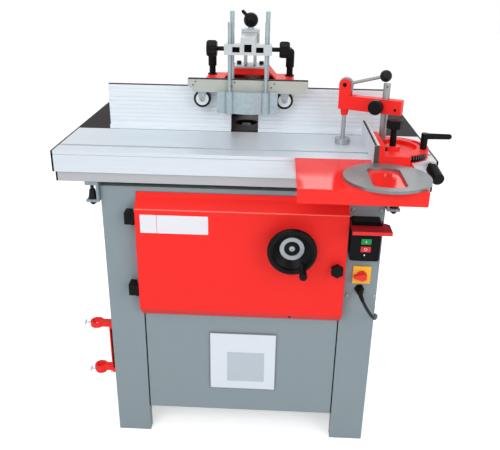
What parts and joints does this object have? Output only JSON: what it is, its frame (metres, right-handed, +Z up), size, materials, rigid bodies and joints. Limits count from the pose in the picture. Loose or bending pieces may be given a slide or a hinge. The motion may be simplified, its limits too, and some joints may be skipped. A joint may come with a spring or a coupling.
{
  "type": "spindle moulder",
  "caption": "Vertical spindle moulder on a sheet-steel cabinet with sliding table, split fence, cutter guards, mitre gauge with hold-down clamp and handwheel lift",
  "frame": {"origin": "on the floor, under the middle of the machine without its mains lead", "axes": "+X to the operator's right, +Y from the operator to the back, +Z up"},
  "size_m": [1.0356, 1.027, 1.268],
  "materials": {
    "red_paint": "gloss powder coat",
    "grey_paint": "textured powder coat",
    "cast_iron": "ground",
    "aluminium": "drawn",
    "machined_steel": "turned",
    "zinc_plate": "zinc plated",
    "bright_steel": "polished",
    "black_plastic": "moulded",
    "rubber": "matte",
    "red_plastic": "moulded",
    "green_plastic": "moulded",
    "yellow_plastic": "moulded"
  },
  "bodies": {
    "frame": {"side_columns": "grey_paint", "cabinet_panels": "grey_paint", "main_table": "cast_iron", "table_ring": "machined_steel", "slide_rail": "aluminium", "rail_brackets": "grey_paint", "side_bracket": "red_paint", "hinge_blocks": "black_plastic", "switch_box": "black_plastic", "isolator_plate": "yellow_plastic", "cable_gland": "black_plastic", "guide_columns": "machined_steel", "power_cord": "rubber", "cord_coil": "rubber", "mains_plug": "rubber"},
    "door": {"door_panel": "red_paint", "hinge_leaves": "black_plastic"},
    "handwheel": {"handwheel": "black_plastic"},
    "handwheel_grip": {"handwheel_grip": "black_plastic"},
    "door_knob": {"door_knob": "black_plastic"},
    "stop_flap": {"stop_flap": "red_plastic"},
    "start_button": {"start_button": "green_plastic"},
    "stop_button": {"stop_button": "red_plastic"},
    "isolator_knob": {"isolator_knob": "red_plastic"},
    "carriage": {"spindle_carriage": "cast_iron", "spindle_bearings": "machined_steel", "motor": "grey_paint", "drive_belt": "rubber"},
    "spindle": {"spindle_shaft": "machined_steel"},
    "motor_pulley": {"motor_pulley": "machined_steel"},
    "lift_screw": {"lift_screw": "machined_steel"},
    "lift_shaft": {"lift_shaft": "machined_steel"},
    "fence": {"fence_hood": "red_paint", "arm_bracket": "aluminium"},
    "left_fence_plate": {"left_fence_plate": "aluminium"},
    "right_fence_plate": {"right_fence_plate": "aluminium"},
    "left_clamp_lever": {"left_clamp_lever": "black_plastic"},
    "right_clamp_lever": {"right_clamp_lever": "black_plastic"},
    "guard_arm": {"guard_arm": "aluminium"},
    "arm_lever": {"arm_lever": "black_plastic"},
    "left_rod_knob": {"left_rod_knob": "black_plastic"},
    "right_rod_knob": {"right_rod_knob": "black_plastic"},
    "roller_board": {"roller_board": "aluminium", "roller_frame": "zinc_plate"},
    "left_roller": {"left_roller": "rubber"},
    "right_roller": {"right_roller": "rubber"},
    "cutter_guard": {"cutter_guard": "zinc_plate"},
    "sliding_table": {"sliding_table": "aluminium", "extension_plate": "red_paint", "push_handle": "black_plastic"},
    "spare_ring": {"spare_ring": "machined_steel"},
    "mitre_head": {"mitre_base": "red_paint", "mitre_fence": "aluminium"},
    "mitre_lever": {"mitre_lever": "black_plastic"},
    "mitre_knob": {"mitre_knob": "black_plastic"},
    "hold_down_post": {"hold_down_post": "bright_steel"},
    "hold_down_arm": {"hold_down_arm": "red_paint"},
    "hold_knob": {"hold_knob": "black_plastic"},
    "cam_lever": {"cam_lever": "bright_steel"},
    "plunger": {"plunger": "bright_steel"}
  },
  "joints": [
    {"name": "table_slide", "type": "slide", "parent": "frame", "child": "sliding_table", "axis": [1, 0, 0], "range_m": [-0.3, 0.3]},
    {"name": "spare_ring_lift", "type": "slide", "parent": "sliding_table", "child": "spare_ring", "axis": [0, 0, 1], "range_m": [0, 0.2]},
    {"name": "mitre_swing", "type": "hinge", "parent": "sliding_table", "child": "mitre_head", "pos_m": [0.37316, -0.11425, 0.952], "axis": [0, 0, -1], "range_deg": [0, 45]},
    {"name": "mitre_lever_turn", "type": "hinge", "parent": "sliding_table", "child": "mitre_lever", "pos_m": [0.44884, -0.13312, 0.952], "axis": [0, 0, 1], "range_deg": [-60, 90]},
    {"name": "mitre_knob_turn", "type": "hinge", "parent": "sliding_table", "child": "mitre_knob", "pos_m": [0.37316, -0.11425, 0.999], "axis": [0, 0, 1], "continuous": true},
    {"name": "post_swing", "type": "hinge", "parent": "mitre_head", "child": "hold_down_post", "pos_m": [0.35166, -0.06825, 0.952], "axis": [0, 0, 1], "range_deg": [0, 60]},
    {"name": "arm_height", "type": "slide", "parent": "hold_down_post", "child": "hold_down_arm", "axis": [0, 0, 1], "range_m": [0, 0.04]},
    {"name": "hold_knob_turn", "type": "hinge", "parent": "hold_down_arm", "child": "hold_knob", "pos_m": [0.33614, -0.0613, 1.0455], "axis": [-0.4087, -0.9127, 0], "continuous": true},
    {"name": "cam_turn", "type": "hinge", "parent": "hold_down_arm", "child": "cam_lever", "pos_m": [0.25116, -0.02325, 1.092], "axis": [-0.4087, -0.9127, 0], "range_deg": [0, 90]},
    {"name": "plunger_slide", "type": "slide", "parent": "hold_down_arm", "child": "plunger", "axis": [0, 0, 1], "range_m": [0, 0.0045]},
    {"name": "fence_slide", "type": "slide", "parent": "frame", "child": "fence", "axis": [0, 1, 0], "range_m": [0, 0.04]},
    {"name": "left_plate_slide", "type": "slide", "parent": "fence", "child": "left_fence_plate", "axis": [1, 0, 0], "range_m": [-0.06, 0.02]},
    {"name": "right_plate_slide", "type": "slide", "parent": "fence", "child": "right_fence_plate", "axis": [1, 0, 0], "range_m": [-0.02, 0.06]},
    {"name": "left_clamp_turn", "type": "hinge", "parent": "fence", "child": "left_clamp_lever", "pos_m": [-0.12934, 0.18475, 1.075], "axis": [0, 0, 1], "range_deg": [-90, 90]},
    {"name": "right_clamp_turn", "type": "hinge", "parent": "fence", "child": "right_clamp_lever", "pos_m": [0.10166, 0.18475, 1.075], "axis": [0, 0, 1], "range_deg": [-90, 90]},
    {"name": "arm_slide", "type": "slide", "parent": "fence", "child": "guard_arm", "axis": [0, -1, 0], "range_m": [0, 0.06]},
    {"name": "arm_lever_turn", "type": "hinge", "parent": "fence", "child": "arm_lever", "pos_m": [-0.01534, 0.16575, 1.202], "axis": [0, 0, 1], "range_deg": [-90, 90]},
    {"name": "left_rod_knob_turn", "type": "hinge", "parent": "guard_arm", "child": "left_rod_knob", "pos_m": [-0.07984, 0.02425, 1.171], "axis": [1, 0, 0], "continuous": true},
    {"name": "right_rod_knob_turn", "type": "hinge", "parent": "guard_arm", "child": "right_rod_knob", "pos_m": [0.04916, 0.02425, 1.171], "axis": [1, 0, 0], "continuous": true},
    {"name": "board_height", "type": "slide", "parent": "guard_arm", "child": "roller_board", "axis": [0, 0, -1], "range_m": [-0.04, 0.07]},
    {"name": "guard_height", "type": "slide", "parent": "guard_arm", "child": "cutter_guard", "axis": [0, 0, -1], "range_m": [-0.04, 0.055]},
    {"name": "left_roller_spin", "type": "hinge", "parent": "roller_board", "child": "left_roller", "pos_m": [-0.14484, 0.05075, 1.029], "axis": [0, 1, 0], "continuous": true},
    {"name": "right_roller_spin", "type": "hinge", "parent": "roller_board", "child": "right_roller", "pos_m": [0.08816, 0.05075, 1.029], "axis": [0, 1, 0], "continuous": true},
    {"name": "door_hinge", "type": "hinge", "parent": "frame", "child": "door", "pos_m": [-0.31184, -0.17525, 0.51], "axis": [0, 0, -1], "range_deg": [0, 100]},
    {"name": "door_knob_turn", "type": "hinge", "parent": "door", "child": "door_knob", "pos_m": [0.24516, -0.17925, 0.62], "axis": [0, 1, 0], "range_deg": [0, 90]},
    {"name": "handwheel_turn", "type": "hinge", "parent": "door", "child": "handwheel", "pos_m": [0.12016, -0.22625, 0.6865], "axis": [0, 1, 0], "range_deg": [-1, 5761]},
    {"name": "grip_spin", "type": "hinge", "parent": "handwheel", "child": "handwheel_grip", "pos_m": [0.14916, -0.22625, 0.6495], "axis": [0, 1, 0], "continuous": true},
    {"name": "lift_shaft_turn", "type": "hinge", "parent": "frame", "child": "lift_shaft", "pos_m": [0.12016, -0.12825, 0.6865], "axis": [0, 1, 0], "range_deg": [-1, 5761]},
    {"name": "lift_screw_turn", "type": "hinge", "parent": "frame", "child": "lift_screw", "pos_m": [0.12016, 0.18575, 0.6865], "axis": [0, 0, -1], "range_deg": [-1, 5761]},
    {"name": "spindle_lift", "type": "slide", "parent": "frame", "child": "carriage", "axis": [0, 0, 1], "range_m": [0, 0.08]},
    {"name": "spindle_spin", "type": "hinge", "parent": "carriage", "child": "spindle", "pos_m": [-0.02584, 0.18575, 0.795], "axis": [0, 0, 1], "continuous": true},
    {"name": "motor_spin", "type": "hinge", "parent": "carriage", "child": "motor_pulley", "pos_m": [-0.20784, 0.18575, 0.462], "axis": [0, 0, 1], "continuous": true},
    {"name": "stop_flap_lift", "type": "hinge", "parent": "frame", "child": "stop_flap", "pos_m": [0.31666, -0.16625, 0.751], "axis": [-1, 0, 0], "range_deg": [0, 70]},
    {"name": "start_press", "type": "slide", "parent": "frame", "child": "start_button", "axis": [0, 1, 0], "range_m": [0, 0.004], "stiffness_N_per_m": 500},
    {"name": "stop_press", "type": "slide", "parent": "frame", "child": "stop_button", "axis": [0, 1, 0], "range_m": [0, 0.004], "stiffness_N_per_m": 500},
    {"name": "isolator_turn", "type": "hinge", "parent": "frame", "child": "isolator_knob", "pos_m": [0.32016, -0.14425, 0.586], "axis": [0, 1, 0], "range_deg": [0, 90]}
  ],
  "couplings": [
    {"joint": "plunger_slide", "follows": "cam_turn", "m_per_rad": 0.0028648},
    {"joint": "handwheel_turn", "follows": "spindle_lift", "rad_per_m": 1256.6},
    {"joint": "lift_shaft_turn", "follows": "spindle_lift", "rad_per_m": 1256.6},
    {"joint": "lift_screw_turn", "follows": "spindle_lift", "rad_per_m": 1256.6},
    {"joint": "motor_spin", "follows": "spindle_spin", "ratio": 0.66667}
  ]
}
